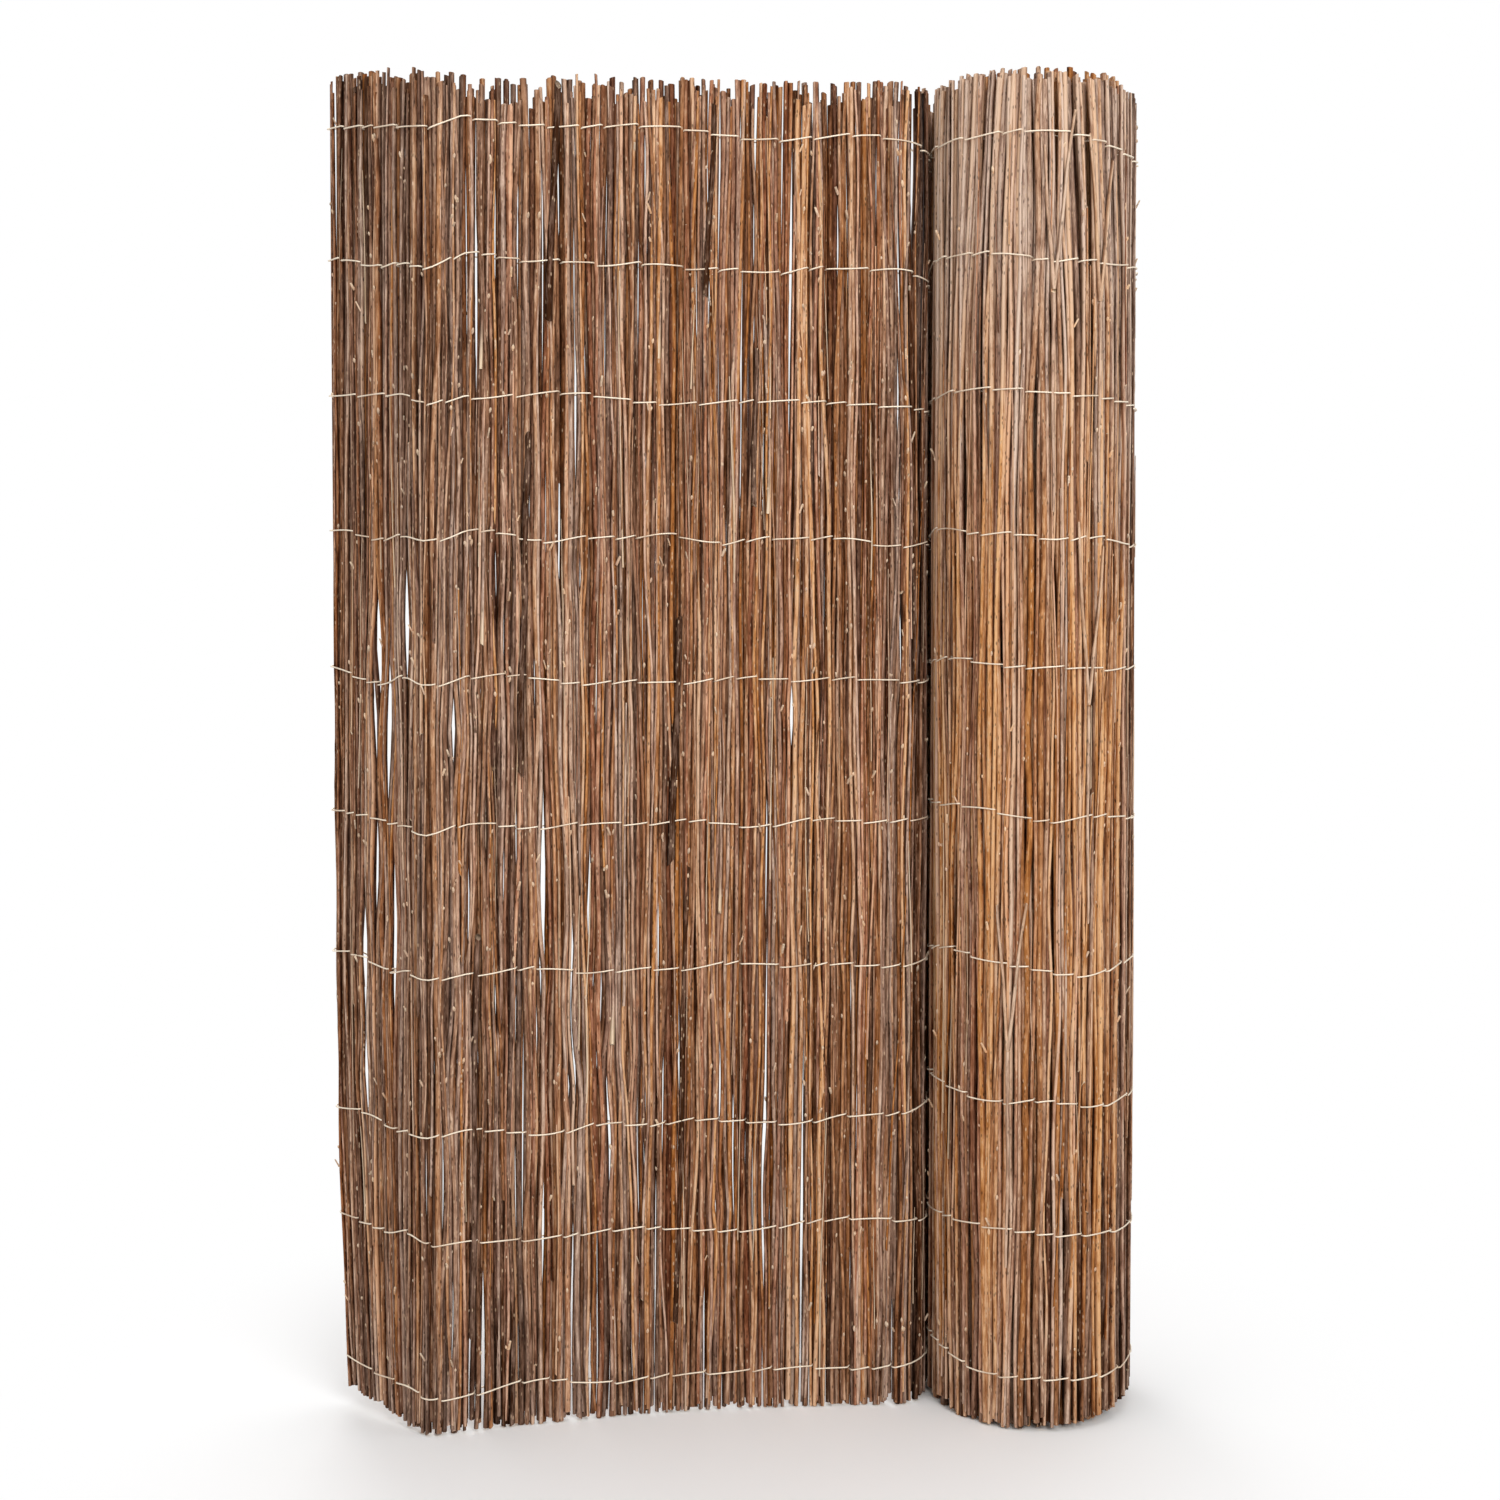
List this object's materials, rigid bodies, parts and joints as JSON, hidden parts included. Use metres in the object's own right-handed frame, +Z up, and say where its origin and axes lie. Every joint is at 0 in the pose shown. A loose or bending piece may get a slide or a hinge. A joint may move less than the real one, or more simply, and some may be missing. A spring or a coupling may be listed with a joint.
{
  "type": "willow screening fence",
  "caption": "Screening mat of upright willow rods held by rows of twined wire, standing on end: an open panel with a folded wing at one end and the rest rolled up at the other.",
  "frame": {"origin": "on the floor, under the middle of the object's bounding box", "axes": "+Z up along the rods, +Y away from the panel's front face, +X from the folded wing to the roll"},
  "size_m": [0.922, 0.2592, 1.5028],
  "materials": {
    "willow": "dry willow bark, brown to grey",
    "wire": "thin galvanised tying wire, dull and warm"
  },
  "bodies": {
    "root": {"unrolled_wall": "willow", "roll": "willow", "wire_row_01": "wire", "wire_row_02": "wire", "wire_row_03": "wire", "wire_row_04": "wire", "wire_row_05": "wire", "wire_row_06": "wire", "wire_row_07": "wire", "wire_row_08": "wire", "wire_row_09": "wire", "wire_row_10": "wire"}
  },
  "joints": []
}
